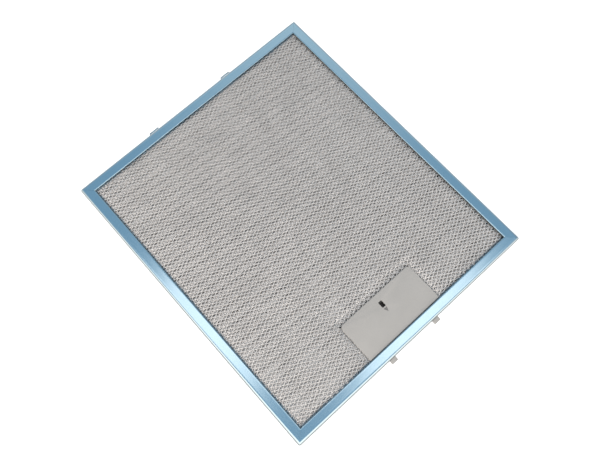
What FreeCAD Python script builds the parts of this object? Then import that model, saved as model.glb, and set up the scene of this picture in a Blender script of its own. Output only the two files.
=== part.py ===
"""Cooker hood grease filter: a folded aluminium frame round five mesh sheets, with a sprung latch.

The filter lies on its back. X runs along the short side, Y along the long side and Z up to the front face.
The origin is the middle of the frame at the level it lies on. The latch is at -Y, the fixed tongues at +Y.
All sizes are in millimetres.
"""
import FreeCAD
import Part
import math
import os

V = FreeCAD.Vector

# Frame, folded from one strip
FRAME_WIDTH = 267.0      # short side
FRAME_LENGTH = 305.0     # long side
FRAME_HEIGHT = 9.0
SHEET = 0.5              # thickness of the strip
FLANGE = 9.6             # from the outside of the web to the folded inner edge
BEND_RADIUS = 1.2        # outside, between web and flange
CORNER_RADIUS = 1.6      # outside, where the web turns a corner
HEM_WIDTH = 2.6          # inner edge of each flange, folded back under itself
HEM_GAP = 0.2            # air inside the hem
MITRE_GAP = 0.3          # hairline between the flanges at each corner
LAP = 12.0               # inner tab that closes the strip at one corner

# Tongues lanced out of the rear web
TONGUE_SPACING = 89.0
TONGUE_ROOT = 14.0
TONGUE_TIP = 10.0
TONGUE_REACH = 3.8
TONGUE_LEVEL = 2.2       # underside of a tongue above the back

# Mesh sheets, drawn as walls with slanted gaps that cross from sheet to sheet
FACE_SHEET = 1.65        # thickness of the front and back sheets
INNER_SHEETS = 3
FACE_PITCH = 4.3         # across the gaps of the face sheets
INNER_PITCH = 8.6        # across the gaps of the inner sheets
FACE_STRAND = 1.9        # metal left between two gaps of a face sheet
INNER_STRAND = 3.4
DIAMOND_LONG_WAY = 5.95  # of the expanded metal, along X
DIAMOND_SHORT_WAY = 3.64
MESH_CLEARANCE = 0.9     # between a sheet's edge and the web, with room for the lap
MESH_COVER = 1.5         # how far the gaps run on under the flanges
MESH_BORDER = 1.6        # unbroken edge round the latch

# Latch slider
PLATE_WIDTH = 83.0
PLATE_DEPTH = 50.0       # from the outside of the front web to the plate's rear edge
PLATE_THICKNESS = 1.2
PLATE_CORNER = 3.5
PLATE_EDGE = 0.3         # bevel of the upper rim
PLATE_CLEARANCE = 0.2    # under the hem and over the second sheet
TRAVEL = 4.2
TAB_SPACING = 51.6
TAB_WIDTH = 6.6
TAB_THICKNESS = 2.4
TAB_REACH = 3.8
TAB_LEVEL = 3.2          # underside of a tab above the back
TAB_BEVEL = 1.2          # ramp under the tip
FRONT_BAR = 4.4          # depth of the bar that carries the tabs
SLOT_WIDTH = 3.75
SLOT_FROM_REAR = 6.8     # from the plate's rear edge to the slot
ARROW_WIDTH = 4.0
ARROW_LENGTH = 4.0
ARROW_DEPTH = 0.3
ARROW_GAP = 1.1          # between slot and arrow
RAIL_THICKNESS = 1.5
RAIL_LENGTH = 28.0
RAIL_FOOT = 1.6          # how far a rail's foot reaches under the guide lip
PUSH_RIB = 1.6
PUSH_RIB_WIDTH = 16.0
RIB_FROM_REAR = 23.0     # from the plate's rear edge to the rib that the spring pushes

# Latch base
PLATE_OVERHANG = 3.5     # how far the plate reaches past each side wall of the base
PLATE_OVERLAP = 2.5      # how far the plate reaches past the rear wall of the base
BASE_WALL = 1.5
BASE_FLOOR = 1.2
RIM = 4.0                # flange trapped between the mesh sheets
GUIDE_LIP = 1.9
GUIDE_LIP_HEIGHT = 1.0
STOP_PEG = 1.2           # length of the peg along the travel
RUNNING_GAP = 0.3        # between pieces that slide
SEAT_GAP = 0.1           # between pieces that are laid together

# Spring, a bowed strip that stands on its edge
SPRING_STRIP = 0.4       # thickness
SPRING_HEIGHT = 2.4
SPRING_CLEARANCE = 4.8   # between an end of the spring and the slider's rail

# Levels and lines that follow from the sizes above
HALF_WIDTH = FRAME_WIDTH / 2
HALF_LENGTH = FRAME_LENGTH / 2
FOLD_RADIUS = SHEET + HEM_GAP / 2
HEM_THICKNESS = 2 * FOLD_RADIUS
FRONT_LEVEL = FRAME_HEIGHT - HEM_THICKNESS
BACK_LEVEL = HEM_THICKNESS
INNER_SHEET = (FRONT_LEVEL - BACK_LEVEL - 2 * FACE_SHEET) / INNER_SHEETS
MITRE_DEPTH = max(HEM_THICKNESS, BEND_RADIUS)
WEB_INSIDE = -HALF_LENGTH + SHEET
PLATE_TOP = FRONT_LEVEL - PLATE_CLEARANCE
PLATE_BOTTOM = PLATE_TOP - PLATE_THICKNESS
PLATE_FRONT = WEB_INSIDE + RUNNING_GAP
PLATE_REAR = -HALF_LENGTH + PLATE_DEPTH
BASE_WIDTH = PLATE_WIDTH - 2 * PLATE_OVERHANG
BASE_REAR = PLATE_REAR - PLATE_OVERLAP
FLOOR_TOP = BACK_LEVEL + BASE_FLOOR
RIM_TOP = BACK_LEVEL + FACE_SHEET + INNER_SHEET
WALL_TOP = PLATE_BOTTOM - RUNNING_GAP
LIP_BOTTOM = WALL_TOP - GUIDE_LIP_HEIGHT
SLOT_LENGTH = TRAVEL + STOP_PEG + 2 * RUNNING_GAP
SLOT_REAR = PLATE_REAR - SLOT_FROM_REAR
RIB_REAR = PLATE_REAR - RIB_FROM_REAR
REAR_WALL_INSIDE = BASE_REAR - BASE_WALL
RAIL_OUTSIDE = BASE_WIDTH / 2 - BASE_WALL - GUIDE_LIP - RUNNING_GAP
SPRING_HALF = RAIL_OUTSIDE - RAIL_THICKNESS - SPRING_CLEARANCE
SPRING_BOTTOM = (FLOOR_TOP + PLATE_BOTTOM - SPRING_HEIGHT) / 2


def box(x_range, y_range, z_range):
    """Block between three pairs of limits."""
    low = V(x_range[0], y_range[0], z_range[0])
    return Part.makeBox(x_range[1] - x_range[0], y_range[1] - y_range[0], z_range[1] - z_range[0], low)


def prism(points, level, height):
    """Upright prism over a plan outline."""
    outline = [V(x, y, level) for x, y in points]
    return Part.Face(Part.makePolygon(outline + outline[:1])).extrude(V(0, 0, height))


def about_centre(half_width, half_length):
    """Corners of a rectangle round the origin."""
    return [(-half_width, -half_length), (half_width, -half_length),
            (half_width, half_length), (-half_width, half_length)]


def rounded_block(inset):
    """The frame's envelope moved in by inset, with rounded upright corners, and its upper and lower rims."""
    block = prism(about_centre(HALF_WIDTH - inset, HALF_LENGTH - inset), inset, FRAME_HEIGHT - 2 * inset)
    upright = [e for e in block.Edges if abs(e.tangentAt(e.FirstParameter).z) > 0.5]
    block = block.makeFillet(CORNER_RADIUS - inset, upright)
    rims = [e for e in block.Edges if e.BoundBox.ZLength < SHEET / 2]
    return block, rims


def side_sector(turn):
    """The quarter of the plan that belongs to one side, cut off at the mitres: 0 is +Y, then clockwise."""
    x = HALF_WIDTH
    y = HALF_LENGTH
    reach = 2 * FLANGE
    sectors = [
        [(-x, y), (x, y), (x - reach, y - reach), (-x + reach, y - reach)],
        [(x, y), (x, -y), (x - reach, -y + reach), (x - reach, y - reach)],
        [(x, -y), (-x, -y), (-x + reach, -y + reach), (x - reach, -y + reach)],
        [(-x, -y), (-x, y), (-x + reach, y - reach), (-x + reach, -y + reach)],
    ]
    return prism(sectors[turn], -FRAME_HEIGHT, 3 * FRAME_HEIGHT)


def hem_section(inner_edge):
    """Section of a folded edge across the strip, in the YZ plane, with its fold towards -Y at inner_edge."""
    centre_y = inner_edge + FOLD_RADIUS
    centre_z = FRAME_HEIGHT - FOLD_RADIUS
    leg_end = inner_edge + HEM_WIDTH
    under_flange = FRAME_HEIGHT - SHEET
    fold = Part.Arc(V(0, centre_y, FRAME_HEIGHT), V(0, inner_edge, centre_z), V(0, centre_y, FRONT_LEVEL))
    leg = Part.makePolygon([V(0, centre_y, FRONT_LEVEL), V(0, leg_end, FRONT_LEVEL),
                            V(0, leg_end, FRONT_LEVEL + SHEET), V(0, centre_y, FRONT_LEVEL + SHEET),
                            V(0, centre_y, under_flange), V(0, centre_y, FRAME_HEIGHT)])
    return Part.Face(Part.Wire([fold.toShape()] + leg.Edges))


def front_hem(turn):
    """Hem of the front flange along one side."""
    along = HALF_WIDTH if turn % 2 == 0 else HALF_LENGTH
    across = HALF_LENGTH if turn % 2 == 0 else HALF_WIDTH
    hem = hem_section(across - FLANGE).extrude(V(2 * along, 0, 0))
    hem.translate(V(-along, 0, 0))
    hem.rotate(V(0, 0, 0), V(0, 0, 1), -90 * turn)
    return hem.common(side_sector(turn))


def over_to_back(shape):
    """The same shape at the back face: mirrored about the middle height."""
    return shape.mirror(V(0, 0, FRAME_HEIGHT / 2), V(0, 0, 1))


def mitre_cut(x_side, y_side):
    """Hairline along one corner's diagonal, through the front flange, its hem and its bend."""
    inner = V(x_side * (HALF_WIDTH - FLANGE), y_side * (HALF_LENGTH - FLANGE), FRAME_HEIGHT - MITRE_DEPTH)
    length = 2 * FLANGE
    cut = Part.makeBox(2 * length, MITRE_GAP, 2 * MITRE_DEPTH, V(-length / 2, -MITRE_GAP / 2, 0))
    cut.rotate(V(0, 0, 0), V(0, 0, 1), math.degrees(math.atan2(y_side, x_side)))
    cut.translate(inner)
    return cut


def closing_corner(frame):
    """Open the web at the corner where the strip's ends meet, and close it with a lap inside."""
    slit = Part.makeBox(2 * FLANGE, MITRE_GAP, FRAME_HEIGHT, V(-FLANGE, -MITRE_GAP / 2, 0))
    slit.rotate(V(0, 0, 0), V(0, 0, 1), -45)
    slit.translate(V(HALF_WIDTH, -HALF_LENGTH, 0))
    lap = box((HALF_WIDTH - SHEET - LAP, HALF_WIDTH - SHEET), (WEB_INSIDE, WEB_INSIDE + SHEET),
              (MITRE_DEPTH, FRAME_HEIGHT - MITRE_DEPTH))
    return frame.cut(slit).fuse(lap)


def tongue(x):
    """Tongue bent out of the rear web, and the window that it leaves there."""
    hinge = HALF_LENGTH - SHEET
    root = TONGUE_ROOT / 2
    tip = TONGUE_TIP / 2
    outline = [(x - root, hinge), (x + root, hinge), (x + root, HALF_LENGTH),
               (x + tip, HALF_LENGTH + TONGUE_REACH), (x - tip, HALF_LENGTH + TONGUE_REACH),
               (x - root, HALF_LENGTH)]
    window = box((x - root, x + root), (hinge - SHEET, HALF_LENGTH + SHEET),
                 (TONGUE_LEVEL + SHEET, TONGUE_LEVEL + SHEET + TONGUE_REACH))
    return prism(outline, TONGUE_LEVEL, SHEET), window


def tab_window(x):
    """Opening in the front web that a latch tab passes through."""
    half = TAB_WIDTH / 2 + RUNNING_GAP
    return box((x - half, x + half), (-HALF_LENGTH - SHEET, WEB_INSIDE + SHEET),
               (TAB_LEVEL - RUNNING_GAP, TAB_LEVEL + TAB_THICKNESS + RUNNING_GAP))


def make_frame():
    """Folded C-section frame with hemmed flanges, mitred corners, tongues and tab openings."""
    outside, outer_rims = rounded_block(0)
    inside, inner_rims = rounded_block(SHEET)
    inner_bevel = (BEND_RADIUS - SHEET) * (2 - math.sqrt(2))
    walls = outside.makeFillet(BEND_RADIUS, outer_rims).cut(inside.makeChamfer(inner_bevel, inner_rims))
    fold_line = FLANGE - FOLD_RADIUS
    opening = about_centre(HALF_WIDTH - fold_line, HALF_LENGTH - fold_line)
    window = prism(opening, -SHEET, FRAME_HEIGHT + 2 * SHEET)
    frame = walls.cut(window)
    hems = [front_hem(turn) for turn in range(4)]
    frame = frame.fuse(hems + [over_to_back(hem) for hem in hems])
    cuts = [mitre_cut(x_side, y_side) for x_side in (-1, 1) for y_side in (-1, 1)]
    cuts += [over_to_back(cut) for cut in cuts]
    cuts += [tab_window(side * TAB_SPACING / 2) for side in (-1, 1)]
    tongues = [tongue(side * TONGUE_SPACING / 2) for side in (-1, 1)]
    frame = frame.cut(cuts + [hole for blade, hole in tongues])
    frame = frame.fuse([blade for blade, hole in tongues])
    return closing_corner(frame).removeSplitter()


def flat_face(points):
    """Plan outline as a face at level zero."""
    outline = [V(x, y, 0) for x, y in points]
    return Part.Face(Part.makePolygon(outline + outline[:1]))


def notch(half_width, rear):
    """Plan rectangle that the latch takes out of a sheet, open towards the front web."""
    front = -FRAME_LENGTH
    return flat_face([(-half_width, front), (half_width, front), (half_width, rear), (-half_width, rear)])


def make_sheet(low, thickness, pitch, strand, slant, half_notch, notch_rear):
    """Mesh sheet: a wall with slanted gaps, cut out for the latch. slant is 1 or -1."""
    edge = SHEET + MESH_CLEARANCE
    wall = flat_face(about_centre(HALF_WIDTH - edge, HALF_LENGTH - edge)).cut(notch(half_notch, notch_rear))
    cover = FLANGE - MESH_COVER
    open_area = flat_face(about_centre(HALF_WIDTH - cover, HALF_LENGTH - cover))
    open_area = open_area.cut(notch(half_notch + MESH_BORDER, notch_rear + MESH_BORDER))
    angle = slant * math.atan2(DIAMOND_SHORT_WAY, DIAMOND_LONG_WAY)
    along = V(math.cos(angle), math.sin(angle), 0)
    across = V(-along.y, along.x, 0)
    reach = (FRAME_WIDTH + FRAME_LENGTH) / 2
    count = int(reach / pitch)
    gaps = []
    for row in range(-count, count + 1):
        middle = across * (row * pitch)
        half_gap = across * ((pitch - strand) / 2)
        corners = [middle - along * reach - half_gap, middle + along * reach - half_gap,
                   middle + along * reach + half_gap, middle - along * reach + half_gap]
        strip = flat_face([(c.x, c.y) for c in corners]).common(open_area)
        gaps += [face for face in strip.Faces if face.Area > pitch * strand]
    sheet = wall.cut(Part.makeCompound(gaps)).Faces[0].extrude(V(0, 0, thickness))
    sheet.translate(V(0, 0, low))
    return sheet


def make_sheets():
    """The five sheets from front to back, each cut out for what the latch has at its level."""
    plate_notch = (PLATE_WIDTH / 2 + 2 * RUNNING_GAP, PLATE_REAR + TRAVEL + 2 * RUNNING_GAP)
    base_notch = (BASE_WIDTH / 2 + RUNNING_GAP, BASE_REAR + RUNNING_GAP)
    rim_notch = (base_notch[0] + RIM, base_notch[1] + RIM)
    sheets = {}
    faces = (("front_mesh", FRONT_LEVEL - FACE_SHEET, plate_notch), ("back_mesh", BACK_LEVEL, base_notch))
    for name, low, cutout in faces:
        sheets[name] = make_sheet(low, FACE_SHEET, FACE_PITCH, FACE_STRAND, 1, *cutout)
    names = ("second_mesh", "middle_mesh", "fourth_mesh")
    cutouts = (base_notch, base_notch, rim_notch)
    for index in range(INNER_SHEETS):
        low = FRONT_LEVEL - FACE_SHEET - (index + 1) * INNER_SHEET
        slant = -1 if index % 2 == 0 else 1
        sheets[names[index]] = make_sheet(low, INNER_SHEET, INNER_PITCH, INNER_STRAND, slant, *cutouts[index])
    return sheets


def both_sides(shape):
    """A shape and its mirror image across the middle of the latch."""
    return [shape, shape.mirror(V(0, 0, 0), V(1, 0, 0))]


def slider_cover():
    """Visible plate with rounded rear corners, bevelled rim, slot and arrow mark."""
    half = PLATE_WIDTH / 2
    cover = box((-half, half), (PLATE_FRONT, PLATE_REAR), (PLATE_BOTTOM, PLATE_TOP))
    middle = V(0, (PLATE_FRONT + PLATE_REAR) / 2, (PLATE_BOTTOM + PLATE_TOP) / 2)
    behind = [e for e in cover.Edges if e.CenterOfMass.y > middle.y]
    cover = cover.makeFillet(PLATE_CORNER, [e for e in behind if e.BoundBox.ZLength > PLATE_THICKNESS / 2])
    upper = [e for e in cover.Edges if e.BoundBox.ZMin > middle.z]
    cover = cover.makeChamfer(PLATE_EDGE, [e for e in upper if e.BoundBox.YMax > middle.y])
    slot_front = SLOT_REAR - SLOT_LENGTH
    slot_half = SLOT_WIDTH / 2
    slot = box((-slot_half, slot_half), (slot_front, SLOT_REAR), (PLATE_BOTTOM, PLATE_TOP))
    arrow_top = slot_front - ARROW_GAP
    arrow_half = ARROW_WIDTH / 2
    outline = [(-arrow_half, arrow_top), (0, arrow_top - ARROW_LENGTH), (arrow_half, arrow_top)]
    arrow = prism(outline, PLATE_TOP - ARROW_DEPTH, ARROW_DEPTH)
    return cover.cut([slot, arrow])


def slider_tab():
    """Tab with a ramp under its tip, so that it rides over the hood's catch."""
    front = -HALF_LENGTH - TAB_REACH
    top = TAB_LEVEL + TAB_THICKNESS
    x = (TAB_SPACING - TAB_WIDTH) / 2
    points = [V(x, PLATE_FRONT, TAB_LEVEL), V(x, front + TAB_BEVEL, TAB_LEVEL),
              V(x, front, TAB_LEVEL + TAB_BEVEL), V(x, front, top), V(x, PLATE_FRONT, top)]
    return Part.Face(Part.makePolygon(points + points[:1])).extrude(V(TAB_WIDTH, 0, 0))


def slider_rail():
    """Rail under the plate whose foot runs beneath the base's guide lip."""
    outside = RAIL_OUTSIDE
    rear = REAR_WALL_INSIDE - TRAVEL - RUNNING_GAP
    front = rear - RAIL_LENGTH
    foot_top = LIP_BOTTOM - RUNNING_GAP
    foot_bottom = FLOOR_TOP + RUNNING_GAP
    stem = box((outside - RAIL_THICKNESS, outside), (front, rear), (foot_bottom, PLATE_BOTTOM))
    foot = box((outside, outside + RAIL_FOOT), (front, rear), (foot_bottom, foot_top))
    return stem.fuse(foot)


def make_latch_plate():
    """Slider: cover, front bar with tabs, rails and the rib that the spring pushes."""
    bar_half = (TAB_SPACING + TAB_WIDTH) / 2 + RUNNING_GAP
    under = FLOOR_TOP + RUNNING_GAP
    bar = box((-bar_half, bar_half), (PLATE_FRONT, PLATE_FRONT + FRONT_BAR), (under, PLATE_BOTTOM))
    rib_half = PUSH_RIB_WIDTH / 2
    rib = box((-rib_half, rib_half), (RIB_REAR - PUSH_RIB, RIB_REAR), (under, PLATE_BOTTOM))
    pieces = [bar, rib] + both_sides(slider_tab()) + both_sides(slider_rail())
    return slider_cover().fuse(pieces).removeSplitter()


def guide_wall():
    """Side wall of the base with its inward lip."""
    outside = BASE_WIDTH / 2
    inside = outside - BASE_WALL
    front = -HALF_LENGTH + FLANGE
    wall = box((inside, outside), (front, BASE_REAR), (FLOOR_TOP, WALL_TOP))
    lip = box((inside - GUIDE_LIP, inside), (front, BASE_REAR), (LIP_BOTTOM, WALL_TOP))
    return wall.fuse(lip)


def make_latch_base():
    """Tray under the slider: floor, trapped rim, guide walls, rear wall, stop peg and hook behind the hem."""
    half = BASE_WIDTH / 2
    front = WEB_INSIDE + BEND_RADIUS
    hem_end = -HALF_LENGTH + FLANGE - HEM_WIDTH
    floor = box((-half, half), (front, BASE_REAR), (BACK_LEVEL, FLOOR_TOP))
    hook = box((-half, half), (front, hem_end - SEAT_GAP), (SHEET + SEAT_GAP, BACK_LEVEL))
    rear_wall = box((-half, half), (REAR_WALL_INSIDE, BASE_REAR), (FLOOR_TOP, WALL_TOP))
    rim_bottom = RIM_TOP - INNER_SHEET
    rim = box((-half - RIM, half + RIM), (-HALF_LENGTH + FLANGE, BASE_REAR + RIM), (rim_bottom, RIM_TOP))
    rim = rim.cut(box((-half, half), (front, BASE_REAR), (rim_bottom, RIM_TOP)))
    peg_half = SLOT_WIDTH / 2 - RUNNING_GAP
    peg_rear = SLOT_REAR - RUNNING_GAP
    peg = box((-peg_half, peg_half), (peg_rear - STOP_PEG, peg_rear), (FLOOR_TOP, PLATE_TOP - RUNNING_GAP))
    walls = both_sides(guide_wall())
    inside = half - BASE_WALL
    sill = box((-half, half), (-HALF_LENGTH + FLANGE, BASE_REAR), (FLOOR_TOP, RIM_TOP))
    sill = sill.cut(box((-inside, inside), (front, REAR_WALL_INSIDE), (FLOOR_TOP, RIM_TOP)))
    return floor.fuse([hook, rear_wall, rim, peg, sill] + walls).removeSplitter()


def make_spring():
    """Bowed strip: its middle pushes the slider's rib, its ends bear on the base's rear wall."""
    apex = RIB_REAR + SEAT_GAP
    ends = REAR_WALL_INSIDE - SEAT_GAP
    half = SPRING_HALF
    rise = ends - apex
    radius = (half * half + rise * rise) / (2 * rise)
    centre = V(0, apex + radius, SPRING_BOTTOM)
    ring = Part.makeCylinder(radius, SPRING_HEIGHT, centre).cut(
        Part.makeCylinder(radius - SPRING_STRIP, SPRING_HEIGHT, centre))
    return ring.common(box((-half, half), (apex, ends), (SPRING_BOTTOM, SPRING_BOTTOM + SPRING_HEIGHT)))


def main():
    parts = {"frame": make_frame(), "latch_plate": make_latch_plate(), "latch_base": make_latch_base()}
    parts.update(make_sheets())
    parts["latch_spring"] = make_spring()
    os.makedirs("parts", exist_ok=True)
    for node, shape in parts.items():
        shape.exportStep("parts/" + node + ".step")
        print(node, shape.ShapeType, len(shape.Solids), shape.isValid(), round(shape.Volume, 1))


main()
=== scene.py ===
"""Looks of a cooker hood grease filter: expanded metal sheets, folded frame, sprung latch and a pale studio.

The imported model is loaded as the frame. The five plain sheets give way to expanded metal, the plain frame to
one with rolled edges and the slider to a copy with softened edges. Every piece gets a procedural finish.
Lengths are in metres.
"""

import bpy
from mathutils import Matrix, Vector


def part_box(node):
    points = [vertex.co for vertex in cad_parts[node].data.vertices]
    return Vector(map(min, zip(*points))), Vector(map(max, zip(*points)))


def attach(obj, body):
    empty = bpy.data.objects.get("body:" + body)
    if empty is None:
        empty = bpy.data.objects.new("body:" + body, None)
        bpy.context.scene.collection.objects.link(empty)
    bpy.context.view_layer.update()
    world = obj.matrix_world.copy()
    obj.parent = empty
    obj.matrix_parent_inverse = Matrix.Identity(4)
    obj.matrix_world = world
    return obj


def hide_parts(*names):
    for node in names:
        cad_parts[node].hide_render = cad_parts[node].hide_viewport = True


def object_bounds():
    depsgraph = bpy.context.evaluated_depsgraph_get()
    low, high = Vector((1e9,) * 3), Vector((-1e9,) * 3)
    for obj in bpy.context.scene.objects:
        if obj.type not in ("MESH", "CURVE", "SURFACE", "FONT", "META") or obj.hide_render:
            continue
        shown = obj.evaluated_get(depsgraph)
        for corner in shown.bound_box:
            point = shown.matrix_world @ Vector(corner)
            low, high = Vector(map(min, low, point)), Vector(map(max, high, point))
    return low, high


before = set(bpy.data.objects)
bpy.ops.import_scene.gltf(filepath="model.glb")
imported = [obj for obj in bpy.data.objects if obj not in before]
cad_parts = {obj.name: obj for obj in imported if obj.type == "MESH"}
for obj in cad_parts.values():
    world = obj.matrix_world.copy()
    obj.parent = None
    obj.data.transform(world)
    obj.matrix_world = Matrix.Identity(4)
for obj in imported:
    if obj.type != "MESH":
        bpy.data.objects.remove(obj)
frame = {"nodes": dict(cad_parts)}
CAD_BOX = [list(corner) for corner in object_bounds()]

import math

import bmesh
import bpy
from bpy.props import FloatProperty, FloatVectorProperty, IntProperty, PointerProperty
from mathutils import Matrix, Quaternion, Vector

bl_info = {
    "name": "Grease filter",
    "version": (1, 0, 0),
    "blender": (4, 5, 0),
    "location": "View3D > Sidebar > Grease filter",
    "description": "Builds the looks of a cooker hood grease filter round its packed model",
    "category": "Object",
}

MM = 0.001

# Frame: steps round the curves of the strip and along its sides, and the inner radius of the folded edge.
BEND_STEPS = 8
FLANGE_SPANS = 8
ROLL_STEPS = 10
FOLD_STEPS = 5
CORNER_STEPS = 4
STATIONS = 28
FOLD_INSIDE = 0.05 * MM
# Share of the mitre's gap by which each flange is shorter.
MITRE_SHARE = 0.7
# Two waves along a side, in radians over half its length. SIDE_SHIFT, per metre, sets the sides apart.
SHORT_WAVE = 7.3
LONG_WAVE = 3.1
SIDE_SHIFT = 40.0
LONG_SHIFT = 1.0
WELD = 1e-7
FRAME_SMOOTH = math.radians(40.0)

# Tongues of the rear web and windows in the rear and front webs, by their middles along X and their heights.
TONGUE_PLACES = (-44.5 * MM, 44.5 * MM)
TONGUE_REACH = 3.8 * MM
TONGUE_ROOT = 14 * MM
TONGUE_TIP = 10 * MM
TONGUE_LEVEL = 2.45 * MM
TONGUE_WINDOW = (2.75 * MM, 6.5 * MM)
HEEL_RADIUS = 0.6 * MM
HEEL_OUTSIDE = 0.35 * MM
HEEL_DROP = 0.9 * MM
HEEL_STEPS = 5
TIP_TURN = 0.7
TIP_ROUNDING = 0.1 * MM
TAB_PLACES = (-25.8 * MM, 25.8 * MM)
TAB_WINDOW_HALF = 3.6 * MM
TAB_WINDOW = (2.9 * MM, 5.9 * MM)

# Film of the strip with its painted light and painted shade, by how far its surface faces up or down: nought
# on a web, one on a flange.
FLAT = (0.975, 0.998)
UPRIGHT = (0.72, 0.86)
LIT_RAMP = (0.04, 0.5)
SHADOW_BEGINS = (0.04, 0.2)
SHADOW_ENDS = (0.76, 0.9)
# A near bend, which gets painted light on its upper curve and a painted shadow along its outermost line, faces
# neither right nor to the rear by more than this.
FACING_AWAY = 0.5
STRIP_GRAIN = 900.0
STRIP_COAT = 0.1

# Sheets: gaps to the plain sheets' boxes and between patches, and the notch round the latch.
SHEET_MARGIN = 3.0 * MM
SHEET_GAP = 0.05 * MM
PATCH_GAP = 0.01 * MM
SLIDER_SIDE_GAP = 0.12 * MM
SLIDER_REAR_GAP = 0.4 * MM
BASE_GAP = 0.6 * MM
# The front sheet dips behind the slider, to let it pass, and beyond a line inside the flanges' edges.
DIP_DEPTH = 1.45 * MM
DIP_SIDE = 1.0 * MM
DIP_REAR = 4.3 * MM
DIP_RAMP = 4.0 * MM
DIP_ROOM = 4.0 * MM
EDGE_INSET = 3.2 * MM
EDGE_RAMP = 2.5 * MM
# Painted shade begins so far beyond that line. Wobble and grain are scales of noise.
PAINTED_SHADE_RAMP = (2.6 * MM, 3.5 * MM)
WOBBLE_SCALE = 160.0
SHEET_GRAIN = 700.0

# Latch: the slider's step and its mark, whose ends are measured from the slider's rear edge.
STEP_OVERHANG = 1.0 * MM
MARK_FAR = 18.5 * MM
MARK_NEAR = 13.3 * MM
MARK_DEPTH = 0.15 * MM
SHADED_DEPTH = 1.0 * MM
COPY_WELD = 1e-6
FLAT_TURN = math.radians(1.0)
SHARP_TURN = math.radians(30.0)
SLIDER_SMOOTH = math.radians(35.0)
SLIDER_ROUGHNESS = 0.48
SLIDER_RELIEF = 0.25
BASE_ROUGHNESS = 0.4
BASE_RELIEF = 0.15
STEEL_ROUGHNESS = 0.3
STEEL_GRAIN = 900.0

# Metal and plastic: scales and depth of their patches, and shares of the roughness between which it varies.
BROAD = 12
METAL_GLOSS = (0.9, 1.12)
COAT_GLOSS = 0.6
PLASTIC_CLOUD = 60.0
PLASTIC_DETAIL = 4.0
PLASTIC_DARK = 0.95
PLASTIC_GLOSS = (0.92, 1.08)

# Room, by how far a direction points ahead or aside.
AHEAD_RAMP = (0.385, 0.575)
AHEAD_SHARE = 0.55
BACK_RAMP = (-0.13, -0.3)
SIDE_RAMP = (0.5, 0.9)

# Floor, with how far inside the filter's box it is shaded, and camera.
FLOOR_HALF = 4.0
FLOOR_DROP = 0.3 * MM
FLOOR_CLOUD = 3.0
FLOOR_DARK = 0.985
FLOOR_ROUGHNESS = 0.9
FLOOR_GLOSS = 0.1
SHADE_SIDE = 1.0 * MM
SHADE_END = 5.0 * MM
WHITE = (1.0, 1.0, 1.0, 1.0)
SENSOR = 36.0
CLIP_START = 0.01


def length(name, description, default):
    """Property for a length given in metres."""
    return FloatProperty(name=name, description=description, default=default, precision=5,
                         subtype="DISTANCE", unit="LENGTH")


def location(name, description, default):
    """Property for a place given in metres."""
    return FloatVectorProperty(name=name, description=description, default=default, size=3,
                               subtype="XYZ", unit="LENGTH")


def colour(name, description, default):
    """Property for a linear colour."""
    return FloatVectorProperty(name=name, description=description, default=default, size=3,
                               min=0.0, soft_max=1.0, subtype="COLOR")


def share(name, description, default):
    """Property for a share of a whole."""
    return FloatProperty(name=name, description=description, default=default, min=-1.0, max=1.0,
                         subtype="FACTOR")


def angle(name, description, degrees):
    """Property for an angle."""
    return FloatProperty(name=name, description=description, default=math.radians(degrees),
                         subtype="ANGLE", unit="ROTATION")


class FrameFinish(bpy.types.PropertyGroup):
    """Folds and film of the frame"""
    film: colour("Film", "Blue tint of the aluminium strip", (0.43, 0.62, 0.725))
    film_deep: colour("Deep film", "Tint where the film is thicker", (0.405, 0.6, 0.71))
    # Painted light and shade of the film: shade on the far bends and at the rolled inner edge; on the near
    # bends a lighter upper curve and a painted shadow along the outermost line.
    bend_shade: colour("Shaded film", "Film where it is stretched at the top of a bend", (0.33, 0.39, 0.42))
    painted_shadow: colour("Shadowed film", "Film at the outermost line of the near bends", (0.23, 0.255, 0.26))
    painted_light: colour("Lit film", "Film where the near bends begin", (0.45, 0.56, 0.61))
    rolled: colour("Rolled film", "Film at the rolled inner edge", (0.29, 0.42, 0.5))
    bare: colour("Bare metal", "Aluminium of the webs, where the film is thin", (0.5, 0.6, 0.66))
    roughness: share("Roughness", "How much the strip blurs what it reflects", 0.152)
    sheet: length("Sheet", "Thickness of the strip", 0.5 * MM)
    bend: length("Bend", "Outer radius between web and flange", 2.6 * MM)
    corner: length("Corner", "Outer radius where the web turns a corner", 1.9 * MM)
    flange: length("Flange", "From the outside of the web to the rolled edge", 10.3 * MM)
    roll: length("Roll", "How far in from the edge the flange begins to curve down", 0.9 * MM)
    drop: length("Drop", "How far the rolled edge curves down before it folds under", 0.3 * MM)
    hem: length("Hem", "Width of the edge folded back under the flange", 2.6 * MM)
    mitre: length("Mitre", "Gap between two flanges at a corner", 0.08 * MM)
    dish: length("Dish", "How far the flange lies lower at its bend than at its edge", 0.12 * MM)
    wave: length("Wave", "How far the flanges dip along their length", 0.02 * MM)


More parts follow.
